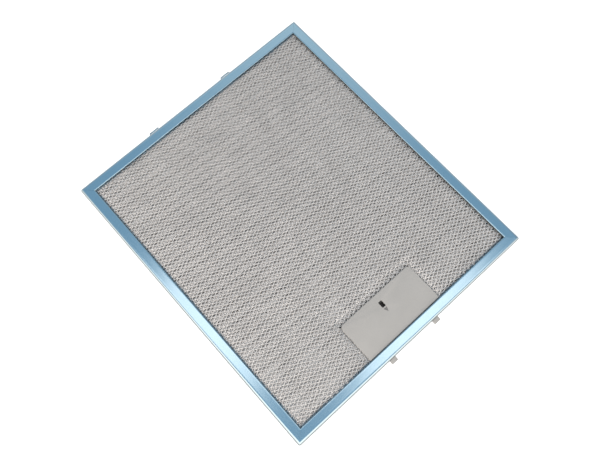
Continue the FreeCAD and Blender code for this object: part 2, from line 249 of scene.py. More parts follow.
class SheetFinish(bpy.types.PropertyGroup):
    """Pattern and metal of the sheets"""
    # All sheets are one aluminium. Their different brightness is painted light: the face sheets darkest, the
    # second sheet lightest to lift the shade behind the face, the inner sheets between.
    metal: colour("Metal", "Bright aluminium of the face sheets", (0.652, 0.637, 0.624))
    metal_dull: colour("Dull metal", "Aluminium of the face sheets where it is dull", (0.600, 0.586, 0.574))
    second: colour("Second metal", "Aluminium of the sheet behind the front one", (0.875, 0.855, 0.837))
    second_dull: colour("Dull second metal", "Aluminium of that sheet where it is dull",
                        (0.805, 0.786, 0.770))
    inner: colour("Inner metal", "Aluminium of the sheets inside", (0.755, 0.738, 0.723))
    inner_dull: colour("Dull inner metal", "Aluminium of the sheets inside where it is dull",
                       (0.657, 0.642, 0.629))
    # The grease colour is painted shade: the face and second sheets are darkened where they go under the
    # flanges, and the lengths below set how far in it comes.
    grease: colour("Grease", "Face and second sheets where they go under the flanges", (0.22, 0.31, 0.38))
    painted_shade_reach: length("Grease reach", "How much farther the grease comes in along the near sides",
                         1.3 * MM)
    painted_shade_side: length("Grease at the side", "How much less the grease comes in along the right side",
                        1.1 * MM)
    painted_shade_rear: length("Grease at the rear", "How much farther the grease comes in along the rear",
                        0.8 * MM)
    roughness: share("Roughness", "How much a strand blurs what it reflects", 0.5)
    long_way: length("Long way", "Length of a diamond, along X", 5.95 * MM)
    face_short_way: length("Face short way", "Height of a diamond of the face sheets, along Y", 3.64 * MM)
    second_short_way: length("Second short way", "Height of a diamond of the sheets next to the faces",
                             2.49 * MM)
    middle_short_way: length("Middle short way", "Height of a diamond of the middle sheet", 2.7 * MM)
    face_strand: length("Face strand", "Width of a strand of the face sheets", 0.99 * MM)
    second_strand: length("Second strand", "Width of a strand of the second sheet", 0.75 * MM)
    inner_strand: length("Inner strand", "Width of a strand of the sheets inside", 0.45 * MM)
    thickness: length("Foil", "Thickness of the metal that the sheets are cut from", 0.3 * MM)
    lean: angle("Lean", "How far the strands stand up out of the sheet", 11.0)
    second_slope: share("Second slope", "How far the rows of the second sheet climb along X", -0.032)
    middle_slope: share("Middle slope", "How far the rows of the middle sheet climb along X", -0.012)
    swing: share("Swing", "Share of a diamond's height that a strand swings through", 0.45)
    edge_dip: length("Edge dip", "How far the front sheet dips under the flanges", 1.1 * MM)
    wobble: length("Wobble", "How far the strands stray from their pattern", 0.16 * MM)
    seed: IntProperty(name="Seed", description="Seed of the strands' wobble", default=7)


class LatchFinish(bpy.types.PropertyGroup):
    """Plastic and steel of the latch"""
    slider: colour("Slider", "Grey plastic of the slider", (0.378, 0.37, 0.355))
    # Shade and mark are painted shade: on the step under the flange and in the sunk mark.
    shade: colour("Shade", "Slider where it goes under the flange", (0.1, 0.13, 0.15))
    mark: colour("Mark", "Bottom of the arrow sunk into the slider", (0.17, 0.165, 0.16))
    base: colour("Base", "Black plastic of the base", (0.02, 0.018, 0.016))
    steel: colour("Spring", "Steel of the spring", (0.62, 0.61, 0.6))
    softening: length("Softening", "Radius of the moulded edges", 0.22 * MM)
    step: length("Step", "How far the slider steps down where it goes under the flange", 0.85 * MM)
    grain: length("Grain", "Size of the moulded grain", 0.45 * MM)


class StageSettings(bpy.types.PropertyGroup):
    """Lamp, room, floor and camera"""
    lamp_colour: colour("Lamp", "Colour of the overhead lamp", (1.0, 0.8, 0.7))
    lamp_radiance: FloatProperty(name="Lamp radiance", description="Brightness of the overhead lamp",
                                 default=1.57)
    lamp_width: length("Lamp width", "Short side of the overhead lamp", 0.42)
    lamp_length: length("Lamp length", "Long side of the overhead lamp", 1.8)
    lamp_place: location("Lamp place", "Where the middle of the lamp hangs", (0.1125, 0.092, 2.0))
    lamp_turn: angle("Lamp turn", "Turn of the lamp about the vertical", -40.5)
    room_top: colour("Room overhead", "Light from the ceiling", (0.328, 0.462, 0.58))
    room_low: colour("Room sides", "Light from the walls", (1.1, 1.08, 1.06))
    room_back: colour("Room behind", "Light from the wall behind the camera", (2.15, 2.03, 1.92))
    room_turn: angle("Room turn", "How far the pale wall ahead stands to the right of the view", 7.0)
    floor: colour("Floor", "Pale floor", (0.8, 0.8, 0.8))
    floor_lift: FloatProperty(name="Floor lift", description="Added to the floor where it is seen",
                              default=0.55)
    under_lift: share("Lift below", "Share of the floor lift under the filter", 0.62)
    focal: FloatProperty(name="Focal length", description="Of a 36 mm wide picture, in millimetres",
                         default=39.34, min=1.0)
    eye: location("Eye", "Where the camera stands", (-0.11383, -0.14501, 0.57816))
    aim: location("Aim", "Point in the middle of the picture", (-0.01041, -0.01646, 0.009))
    roll: angle("Roll", "Turn of the camera about its own axis", 3.32)


class FilterSettings(bpy.types.PropertyGroup):
    """Settings of all steps"""
    frame: PointerProperty(type=FrameFinish)
    sheets: PointerProperty(type=SheetFinish)
    latch: PointerProperty(type=LatchFinish)
    stage: PointerProperty(type=StageSettings)


class Graph:
    """Short way to add and join nodes of one tree."""

    def __init__(self, tree):
        self.tree = tree

    def node(self, kind, values=None, **settings):
        made = self.tree.nodes.new(kind)
        for key, value in settings.items():
            setattr(made, key, value)
        for key, value in (values or {}).items():
            self.feed(made, key, value)
        return made

    def feed(self, node, key, value):
        """Set an input to a value, or join it to another node's output."""
        if isinstance(value, bpy.types.NodeSocket):
            self.tree.links.new(value, node.inputs[key])
        else:
            node.inputs[key].default_value = value

    def maths(self, operation, first, second=0.0, third=0.0):
        values = {0: first, 1: second}
        if operation == "MULTIPLY_ADD":
            values[2] = third
        return self.node("ShaderNodeMath", values, operation=operation).outputs[0]

    def within(self, value, low, high):
        """Value kept between two limits."""
        return self.maths("MINIMUM", self.maths("MAXIMUM", value, low), high)

    def vector(self, x=0.0, y=0.0, z=0.0):
        return self.node("ShaderNodeCombineXYZ", {0: x, 1: y, 2: z}).outputs[0]

    def split(self, vector):
        """The X, Y and Z of a vector."""
        return self.node("ShaderNodeSeparateXYZ", {0: vector}).outputs

    def vector_maths(self, operation, first, second):
        made = self.node("ShaderNodeVectorMath", {0: first, 1: second}, operation=operation)
        return made.outputs["Value" if operation == "DOT_PRODUCT" else "Vector"]

    def place(self):
        """Place on the piece that a material is on, in the piece's own coordinates."""
        return self.node("ShaderNodeTexCoord").outputs["Object"]


def new_material(name):
    """Empty node material and the graph of its nodes, with the shader joined to the output."""
    material = bpy.data.materials.new(name)
    material.use_nodes = True
    material.node_tree.nodes.clear()
    graph = Graph(material.node_tree)
    shader = graph.node("ShaderNodeBsdfPrincipled")
    output = graph.node("ShaderNodeOutputMaterial")
    graph.tree.links.new(shader.outputs[0], output.inputs["Surface"])
    return material, graph, shader


def shading(material):
    """Graph, shader and base colour of a finish."""
    graph = Graph(material.node_tree)
    shader = next(node for node in graph.tree.nodes if node.type == "BSDF_PRINCIPLED")
    return graph, shader, shader.inputs["Base Color"].links[0].from_socket


def noise(graph, place, scale, detail=3.0):
    """Noise between nought and one at a place."""
    return graph.node("ShaderNodeTexNoise", {"Vector": place, "Scale": scale, "Detail": detail}).outputs[0]


def spread(graph, value, low, high, start=0.3, end=0.7, kind="LINEAR"):
    """Map a value that goes from start to end to one that goes from low to high. The defaults suit noise."""
    values = {"Value": value, "From Min": start, "From Max": end, "To Min": low, "To Max": high}
    return graph.node("ShaderNodeMapRange", values, interpolation_type=kind).outputs[0]


def blend(graph, factor, first, second):
    """Mix of two colours."""
    mixed = graph.node("ShaderNodeMix", data_type="RGBA")
    graph.feed(mixed, 0, factor)
    graph.feed(mixed, 6, first)
    graph.feed(mixed, 7, second)
    return mixed.outputs[2]


def rgba(values):
    return (*values, 1.0)


def metal_finish(name, bright, dull, roughness, grain, film=0.0):
    """Metal whose colour and gloss vary a little, with an optional clear film over it."""
    material, graph, shader = new_material(name)
    place = graph.place()
    broad = noise(graph, place, grain / BROAD)
    fine = noise(graph, place, grain)
    tint = blend(graph, spread(graph, broad, 0.0, 1.0), rgba(bright), rgba(dull))
    graph.feed(shader, "Base Color", tint)
    graph.feed(shader, "Metallic", 1.0)
    graph.feed(shader, "Roughness", spread(graph, fine, *[roughness * part for part in METAL_GLOSS]))
    graph.feed(shader, "Coat Weight", film)
    graph.feed(shader, "Coat Roughness", roughness * COAT_GLOSS)
    return material


def plastic_finish(name, base, roughness, grain, relief):
    """Moulded plastic with a fine grain in its surface."""
    material, graph, shader = new_material(name)
    place = graph.place()
    broad = noise(graph, place, PLASTIC_CLOUD)
    fine = noise(graph, place, 1.0 / grain, PLASTIC_DETAIL)
    darker = tuple(PLASTIC_DARK * value for value in base)
    tint = blend(graph, spread(graph, broad, 0.0, 1.0), rgba(base), rgba(darker))
    bump = graph.node("ShaderNodeBump", {"Height": fine, "Strength": relief, "Distance": grain / 2})
    graph.feed(shader, "Base Color", tint)
    graph.feed(shader, "Roughness", spread(graph, fine, *[roughness * part for part in PLASTIC_GLOSS]))
    graph.feed(shader, "Normal", bump.outputs[0])
    return material


def shade_slider(material, finish, step_line, mark_low, mark_high, mark_level):
    """Darken a slider's step and the mark sunk into it with painted shade."""
    graph, shader, tint = shading(material)
    place = graph.split(graph.place())
    upper = graph.maths("GREATER_THAN", place[2], mark_level - SHADED_DEPTH)
    step = graph.maths("MULTIPLY", graph.maths("LESS_THAN", place[1], step_line), upper)
    sunk = graph.maths("LESS_THAN", place[2], mark_level)
    sunk = graph.maths("MULTIPLY", sunk, graph.maths("GREATER_THAN", place[1], mark_low))
    sunk = graph.maths("MULTIPLY", sunk, graph.maths("LESS_THAN", place[1], mark_high))
    sunk = graph.maths("MULTIPLY", sunk, upper)
    tint = blend(graph, step, tint, rgba(finish.shade))
    graph.feed(shader, "Base Color", blend(graph, sunk, tint, rgba(finish.mark)))


def shade_edge(material, finish, edge_x, edge_y):
    """Darken a sheet with painted shade where it goes under the flanges."""
    graph, shader, tint = shading(material)
    place = graph.split(graph.place())
    side = graph.maths("SUBTRACT", place[0], edge_x + finish.painted_shade_side)
    far = graph.maths("MAXIMUM", side, graph.maths("SUBTRACT", place[1], edge_y - finish.painted_shade_rear))
    near = graph.maths("MINIMUM", graph.maths("ADD", place[0], edge_x), graph.maths("ADD", place[1], edge_y))
    near = graph.maths("MULTIPLY_ADD", near, -1.0, finish.painted_shade_reach)
    under = spread(graph, graph.maths("MAXIMUM", far, near), 0.0, 1.0, *PAINTED_SHADE_RAMP)
    graph.feed(shader, "Base Color", blend(graph, under, tint, rgba(finish.grease)))


def film_finish(finish, half_width, half_length):
    """Aluminium under a blue film, thin on the webs, with painted shade on the far bends and at the rolled
    inner edge, and on the near bends painted light and a painted shadow line.
    """
    material = metal_finish("Blue filmed aluminium", finish.film, finish.film_deep, finish.roughness,
                            STRIP_GRAIN, STRIP_COAT)
    graph, shader, tint = shading(material)
    facing = graph.split(graph.node("ShaderNodeNewGeometry").outputs["Normal"])
    level = graph.maths("ABSOLUTE", facing[2])
    place = graph.split(graph.place())
    inside_x = graph.maths("LESS_THAN", graph.maths("ABSOLUTE", place[0]), half_width - finish.bend)
    inside_y = graph.maths("LESS_THAN", graph.maths("ABSOLUTE", place[1]), half_length - finish.bend)
    inside = graph.maths("MULTIPLY", inside_x, inside_y)
    # Painted shade: the upper curve of a far bend is darker film.
    bent = blend(graph, spread(graph, level, 1.0, 0.0, *UPRIGHT), rgba(finish.bend_shade), rgba(finish.bare))
    ahead = graph.maths("MAXIMUM", facing[0], facing[1])
    # Near bends: painted light on the upper curve and a painted shadow along the outermost line, in place of
    # the far bends' colours.
    near = graph.maths("LESS_THAN", graph.maths("ADD", facing[0], facing[1]), 0.0)
    near = graph.maths("MULTIPLY", near, graph.maths("LESS_THAN", ahead, FACING_AWAY))
    begun = spread(graph, level, 0.0, 1.0, *SHADOW_BEGINS)
    painted_shadow = graph.maths("MULTIPLY", begun, spread(graph, level, 1.0, 0.0, *SHADOW_ENDS))
    painted_light = spread(graph, level, 0.0, 1.0, *LIT_RAMP)
    turned = blend(graph, painted_light, rgba(finish.bare), rgba(finish.painted_light))
    turned = blend(graph, painted_shadow, turned, rgba(finish.painted_shadow))
    bent = blend(graph, near, bent, turned)
    # Painted shade on the rolled inner edge and the fold under it.
    bent = blend(graph, inside, bent, rgba(finish.rolled))
    flat = spread(graph, level, 0.0, 1.0, *FLAT)
    graph.feed(shader, "Base Color", blend(graph, flat, bent, tint))
    return material


def give_material(node, material):
    """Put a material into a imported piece's slot."""
    for slot in frame["nodes"][node].material_slots:
        slot.material = material


def plain_mesh(bm, name):
    """Mesh of what a bmesh holds. The bmesh is freed."""
    mesh = bpy.data.meshes.new(name)
    bm.to_mesh(mesh)
    bm.free()
    return mesh


def shaped(item, modifier):
    """Plain mesh of an object as its modifier shapes it. The modifier is removed."""
    graph = bpy.context.evaluated_depsgraph_get()
    mesh = bpy.data.meshes.new_from_object(item.evaluated_get(graph))
    item.modifiers.remove(modifier)
    return mesh


def linked(name, mesh):
    """Object in the scene that shows a mesh."""
    item = bpy.data.objects.new(name, mesh)
    bpy.context.scene.collection.objects.link(item)
    return item


def discard(item):
    """Remove an object and its mesh."""
    mesh = item.data
    bpy.data.objects.remove(item)
    bpy.data.meshes.remove(mesh)


def place_piece(name, mesh, body, slot, *nodes):
    """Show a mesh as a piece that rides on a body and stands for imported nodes."""
    if not mesh.polygons:
        raise RuntimeError("No faces were made for " + name)
    piece = linked(name, mesh)
    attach(piece, body)
    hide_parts(*nodes)
    return piece


def joined(meshes, name, material):
    """One mesh from several, which are removed."""
    bm = bmesh.new()
    for mesh in meshes:
        bm.from_mesh(mesh)
        bpy.data.meshes.remove(mesh)
    whole = plain_mesh(bm, name)
    whole.materials.clear()
    whole.materials.append(material)
    return whole


def cut_boxes(mesh, boxes):
    """Cut boxes, each given by two corners, out of a mesh, which is removed."""
    bm = bmesh.new()
    for low, high in boxes:
        made = bmesh.ops.create_cube(bm, size=1.0)["verts"]
        for vertex in made:
            for axis in range(3):
                vertex.co[axis] = low[axis] if vertex.co[axis] < 0 else high[axis]
    cutter = linked("cutter", plain_mesh(bm, "cutter"))
    target = linked("target", mesh)
    modifier = target.modifiers.new("Openings", "BOOLEAN")
    modifier.operation = "DIFFERENCE"
    modifier.solver = "EXACT"
    modifier.object = cutter
    result = shaped(target, modifier)
    discard(cutter)
    discard(target)
    return result


def skin(bm, rows):
    """Faces between closed rows of vertices that follow one another."""
    count = len(rows[0])
    for first, second in zip(rows, rows[1:]):
        for point in range(count):
            after = (point + 1) % count
            bm.faces.new((first[point], first[after], second[after], second[point]))


def arc(centre, radius, start, end, steps):
    """Points of an arc in a section, from one angle to another, in degrees."""
    turns = [math.radians(start + (end - start) * step / steps) for step in range(steps + 1)]
    return [(centre[0] + radius * math.cos(turn), centre[1] + radius * math.sin(turn)) for turn in turns]


def two_sides(line, half):
    """Two lines beside a middle line, half a sheet's thickness to its left and to its right."""
    lefts = []
    rights = []
    for number, point in enumerate(line):
        before = Vector(line[max(number - 1, 0)])
        after = Vector(line[min(number + 1, len(line) - 1)])
        along = (after - before).normalized()
        side = Vector((-along.y, along.x)) * half
        lefts.append(Vector(point) + side)
        rights.append(Vector(point) - side)
    return lefts, rights


def flange_line(finish, height):
    """Middle line of the strip from half way up the web, over the flange and round the folded edge."""
    half = finish.sheet / 2
    top = height - half
    fold = half + FOLD_INSIDE
    edge = finish.flange - half
    start = finish.flange - finish.roll
    line = [(half, height / 2)]
    line += arc((finish.bend, height - finish.bend), finish.bend - half, 180, 90, BEND_STEPS)
    for span in range(1, FLANGE_SPANS):
        line.append((finish.bend + (start - finish.bend) * span / FLANGE_SPANS, top))
    for step in range(ROLL_STEPS + 1):
        turn = math.radians(90 * step / ROLL_STEPS)
        line.append((start + (edge - start) * math.sin(turn), top - finish.drop * (1 - math.cos(turn))))
    line += arc((edge - fold, top - finish.drop), fold, 0, -90, FOLD_STEPS)[1:]
    line.append((edge - finish.hem, line[-1][1]))
    dished = [(inset, level - finish.dish * (1 - (inset / finish.flange) ** 2)) for inset, level in line[1:]]
    return [line[0]] + dished


def frame_section(finish, height):
    """Closed outline of the folded strip, as distances in from the web and heights."""
    upper = flange_line(finish, height)
    line = [(inset, height - level) for inset, level in reversed(upper)] + upper[1:]
    outer, inner = two_sides(line, finish.sheet / 2)
    return outer + inner[::-1]


def side_bmesh(finish, section, across, along, open_ends):
    """One side of the frame, lying along X at +Y, with mitred ends. across and along are half sizes."""
    bm = bmesh.new()
    turns = [math.radians(45 * step / CORNER_STEPS) for step in range(CORNER_STEPS, -1, -1)]
    stations = [(-1, turn, None) for turn in turns]
    stations += [(1, None, -1 + 2 * number / STATIONS) for number in range(1, STATIONS)]
    stations += [(1, turn, None) for turn in reversed(turns)]
    rows = []
    for sign, turn, place in stations:
        row = []
        parted = open_ends[0 if sign < 0 else 1]
        for inset, level in section:
            gap = finish.mitre * MITRE_SHARE if inset > finish.bend or parted else 0.0
            reach = along - max(inset, finish.corner) - gap
            radius = finish.corner - inset
            x = sign * reach
            y = across - inset
            if place is not None:
                x = reach * place
                dip = math.sin(SHORT_WAVE * place + SIDE_SHIFT * across)
                dip *= math.sin(LONG_WAVE * place + LONG_SHIFT)
                upper = max(0.0, level / finish.flange)
                level -= finish.wave * upper * abs(dip) * min(1.0, inset / finish.flange)
            elif radius > 0:
                x = sign * (along - finish.corner + radius * math.sin(turn) - gap)
                y = across - finish.corner + radius * math.cos(turn)
            row.append(bm.verts.new((x, y, level)))
        rows.append(row)
    skin(bm, rows)
    count = len(section)
    for row in (rows[0], rows[-1]):
        for point in range(count // 2 - 1):
            bm.faces.new((row[point], row[point + 1], row[count - 2 - point], row[count - 1 - point]))
    bmesh.ops.remove_doubles(bm, verts=bm.verts, dist=WELD)
    bmesh.ops.recalc_face_normals(bm, faces=bm.faces)
    return bm


def tongue_bmesh(finish, x, across):
    """Blade that is bent out of the rear web: a rounded heel and a tapered tip."""
    bm = bmesh.new()
    line = [(across - finish.sheet / 2, TONGUE_LEVEL - HEEL_DROP)]
    line += arc((across + HEEL_OUTSIDE, TONGUE_LEVEL - HEEL_RADIUS), HEEL_RADIUS, 180, 90, HEEL_STEPS)
    line.append((across + TONGUE_REACH, TONGUE_LEVEL))
    rows = []
    for point, left, right in zip(line, *two_sides(line, finish.sheet / 2)):
        taper = max(0.0, min(1.0, (point[0] - across) / TONGUE_REACH))
        wide = TONGUE_ROOT / 2 + (TONGUE_TIP - TONGUE_ROOT) / 2 * taper
        corners = []
        for edge in (left, right):
            corners.append([bm.verts.new((x + wide * sign, edge.x, edge.y)) for sign in (-1, 1)])
        rows.append([corners[0][0], corners[0][1], corners[1][1], corners[1][0]])
    skin(bm, rows)
    bm.faces.new(rows[0])
    bm.faces.new(rows[-1])
    bmesh.ops.recalc_face_normals(bm, faces=bm.faces)
    sharp = [edge for edge in bm.edges if not edge.is_boundary and edge.calc_face_angle(0.0) > TIP_TURN]
    bmesh.ops.bevel(bm, geom=sharp, offset=TIP_ROUNDING, segments=2, profile=0.5, affect="EDGES",
                    clamp_overlap=True)
    return bm


def windows(places, half, y_range, z_range):
    """Boxes that cut windows into a web, given by their middles along X."""
    return [((x - half, y_range[0], z_range[0]), (x + half, y_range[1], z_range[1])) for x in places]


class FILTER_OT_frame(bpy.types.Operator):
    """Fold the frame from strip with rolled flange edges, and finish it"""
    bl_idname = "grease_filter.frame"
    bl_label = "Build the frame"

    def execute(self, context):
        finish = context.scene.grease_filter.frame
        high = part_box("frame")[1]
        half_width = high.x
        half_length = high.y - TONGUE_REACH
        section = frame_section(finish, high.z)
        rear_web = (half_length - 2 * finish.sheet, half_length + finish.sheet)
        front_web = (-half_length - finish.sheet, -half_length + 2 * finish.sheet)
        openings = {0: windows(TONGUE_PLACES, TONGUE_ROOT / 2, rear_web, TONGUE_WINDOW),
                    2: windows(TAB_PLACES, TAB_WINDOW_HALF, front_web, TAB_WINDOW)}
        meshes = []
        for turn in range(4):
            along, across = (half_width, half_length) if turn % 2 == 0 else (half_length, half_width)
            bm = side_bmesh(finish, section, across, along, (turn == 2, turn == 1))
            turned = Quaternion((0, 0, 1), -turn * math.pi / 2).to_matrix()
            bmesh.ops.rotate(bm, verts=bm.verts, cent=(0, 0, 0), matrix=turned)
            mesh = plain_mesh(bm, "side")
            if turn in openings:
                mesh = cut_boxes(mesh, openings[turn])
            meshes.append(mesh)
        for x in TONGUE_PLACES:
            meshes.append(plain_mesh(tongue_bmesh(finish, x, half_length), "tongue"))
        whole = joined(meshes, "folded_frame", film_finish(finish, half_width, half_length))
        whole.shade_smooth()
        whole.set_sharp_from_angle(angle=FRAME_SMOOTH)
        place_piece("folded_frame", whole, "filter", "frame_aluminium", "frame")
        return {"FINISHED"}


def expanded_metal_tree():
    """Node group that lays zigzag strands side by side so that they meet at the knuckles.

    Returns the identifiers of its inputs too.
    """
    tree = bpy.data.node_groups.new("Expanded metal", "GeometryNodeTree")
    kinds = {"Columns": "Int", "Rows": "Int", "Phase": "Int", "Seed": "Int", "Start": "Vector",
             "Half Diamond": "Float", "Row Pitch": "Float", "Swing": "Float", "Strand Width": "Float",
             "Strand Thickness": "Float", "Lean": "Float", "Slope": "Float", "Wobble": "Float",
             "Dip": "Float", "Dip Line": "Float", "Dip Half Width": "Float", "Trim Low": "Float",
             "Trim High": "Float", "Trim Front": "Float", "Trim Rear": "Float", "Start X": "Float",
             "Edge Dip": "Float", "Edge X": "Float", "Edge Front": "Float", "Edge Rear": "Float",
             "Material": "Material"}
    inputs = {}
    for name, kind in kinds.items():
        socket = tree.interface.new_socket(name, in_out="INPUT", socket_type="NodeSocket" + kind)
        inputs[name] = socket.identifier
    tree.interface.new_socket("Geometry", in_out="OUTPUT", socket_type="NodeSocketGeometry")
    graph = Graph(tree)
    given = graph.node("NodeGroupInput").outputs
    index = graph.node("GeometryNodeInputIndex").outputs[0]
    position = graph.node("GeometryNodeInputPosition").outputs[0]
    place = graph.split(position)
    # Two strands, half a diamond out of step, each a zigzag line swept with a flat section.
    profile = graph.node("GeometryNodeCurvePrimitiveQuadrilateral",
                         {"Width": given["Strand Thickness"], "Height": given["Strand Width"]}).outputs[0]
    strands = graph.node("GeometryNodeGeometryToInstance")
    for phase in (0, 1):
        points = graph.node("GeometryNodeMeshLine",
                            {"Count": given["Columns"], "Offset": graph.vector(given["Half Diamond"]),
                             "Start Location": graph.vector(given["Start X"])}, mode="OFFSET").outputs[0]
        odd = graph.maths("MODULO", graph.maths("ADD", index, phase), 2.0)
        sway = graph.maths("MULTIPLY", graph.maths("MULTIPLY_ADD", odd, 2.0, -1.0), given["Swing"])
        kept = graph.within(place[0], given["Trim Low"], given["Trim High"])
        zigzag = graph.node("GeometryNodeSetPosition",
                            {"Geometry": points, "Position": graph.vector(kept, sway)}).outputs[0]
        path = graph.node("GeometryNodeMeshToCurve", {"Mesh": zigzag}).outputs[0]
        path = graph.node("GeometryNodeSetCurveNormal", {"Curve": path}, mode="Z_UP").outputs[0]
        path = graph.node("GeometryNodeSetCurveTilt", {"Curve": path, "Tilt": given["Lean"]}).outputs[0]
        strand = graph.node("GeometryNodeCurveToMesh", {"Curve": path, "Profile Curve": profile}).outputs[0]
        tree.links.new(strand, strands.inputs[0])
    # The strands take turns from row to row.
    rows = graph.node("GeometryNodeMeshLine",
                      {"Count": given["Rows"], "Start Location": given["Start"],
                       "Offset": graph.vector(0.0, given["Row Pitch"])}, mode="OFFSET").outputs[0]
    pick = graph.maths("MODULO", graph.maths("ADD", index, given["Phase"]), 2.0)
    laid = graph.node("GeometryNodeInstanceOnPoints",
                      {"Points": rows, "Instance": strands.outputs[0], "Pick Instance": True,
                       "Instance Index": pick}).outputs[0]
    sheet = graph.node("GeometryNodeRealizeInstances", {"Geometry": laid}).outputs[0]
    # Stray, slope and dip move the sheet.
    shift = graph.vector_maths("ADD", position, graph.vector(given["Seed"], given["Seed"]))
    cloud = graph.node("ShaderNodeTexNoise", {"Vector": shift, "Scale": WOBBLE_SCALE, "Detail": 1.0})
    stray = graph.vector_maths("SUBTRACT", cloud.outputs["Color"], (0.5, 0.5, 0.5))
    stray = graph.node("ShaderNodeVectorMath", {0: stray, "Scale": given["Wobble"]},
                       operation="SCALE").outputs[0]
    aside = graph.maths("ABSOLUTE", place[0])
    behind = given["Dip"]
    for value, start in ((aside, given["Dip Half Width"]), (place[1], given["Dip Line"])):
        end = graph.maths("ADD", start, DIP_RAMP)
        fading = spread(graph, value, 1.0, 0.0, start, end, "SMOOTHSTEP")
        behind = graph.maths("MULTIPLY", fading, behind)
    beyond = graph.maths("SUBTRACT", aside, given["Edge X"])
    beyond = graph.maths("MAXIMUM", beyond, graph.maths("SUBTRACT", place[1], given["Edge Rear"]))
    beyond = graph.maths("MAXIMUM", beyond, graph.maths("SUBTRACT", given["Edge Front"], place[1]))
    under = spread(graph, beyond, 0.0, given["Edge Dip"], 0.0, EDGE_RAMP, "SMOOTHSTEP")
    drop = graph.maths("MULTIPLY", graph.maths("MAXIMUM", behind, under), -1.0)
    climb = graph.maths("MULTIPLY", place[0], given["Slope"])
    move = graph.vector_maths("ADD", stray, graph.vector(0.0, climb, drop))
    sheet = graph.node("GeometryNodeSetPosition", {"Geometry": sheet, "Offset": move}).outputs[0]
    # What has moved past the front or the rear is pushed back to that line.
    kept = graph.within(place[1], given["Trim Front"], given["Trim Rear"])
    sheet = graph.node("GeometryNodeSetPosition",
                       {"Geometry": sheet, "Position": graph.vector(place[0], kept, place[2])}).outputs[0]
    sheet = graph.node("GeometryNodeRealizeInstances", {"Geometry": sheet}).outputs[0]
    sheet = graph.node("GeometryNodeSetMaterial",
                       {"Geometry": sheet, "Material": given["Material"]}).outputs[0]
    output = graph.node("NodeGroupOutput")
    tree.links.new(sheet, output.inputs[0])
    return tree, inputs


def evaluated_mesh(tree, inputs, values):
    """Plain mesh that a node group makes with these inputs."""
    carrier = linked("carrier", bpy.data.meshes.new("carrier"))
    modifier = carrier.modifiers.new("Expanded metal", "NODES")
    modifier.node_group = tree
    for name, value in values.items():
        modifier[inputs[name]] = value
    mesh = shaped(carrier, modifier)
    discard(carrier)
    return mesh


def patch(finish, x_range, y_range, level, short_way, slope):
    """Inputs for the part of a sheet that fills a rectangle, in step with the pattern about the origin.

    A sloped sheet has a row to spare at both ends and is trimmed to the rectangle's ends. A level one isn't.
    """
    half = finish.long_way / 2
    pitch = short_way / 2
    climbs = [slope * x for x in x_range]
    spare = 1 if slope else 0
    overhang = 0.0 if slope else short_way
    first_column = math.floor(x_range[0] / half)
    first_row = math.ceil((y_range[0] - max(climbs)) / pitch) - spare
    last_row = math.floor((y_range[1] - min(climbs)) / pitch) + spare
    return {"Columns": math.ceil(x_range[1] / half) - first_column + 1,
            "Rows": last_row - first_row + 1, "Slope": slope,
            "Trim Front": y_range[0] - overhang, "Trim Rear": y_range[1] + overhang,
            "Phase": (first_column + first_row) % 2, "Trim Low": x_range[0], "Trim High": x_range[1],
            "Start X": first_column * half, "Start": (0.0, first_row * pitch, level),
            "Half Diamond": half, "Row Pitch": pitch}


def notch(node):
    """Half width and rear end of the gap that a sheet leaves for the latch."""
    plate_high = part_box("latch_plate")[1]
    base_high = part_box("latch_base")[1]
    if node == "front_mesh":
        return plate_high.x + SLIDER_SIDE_GAP, plate_high.y + SLIDER_REAR_GAP
    if node in ("fourth_mesh", "back_mesh"):
        return base_high.x + BASE_GAP, base_high.y + BASE_GAP
    return base_high.x + BASE_GAP, plate_high.y + SLIDER_REAR_GAP + DIP_ROOM


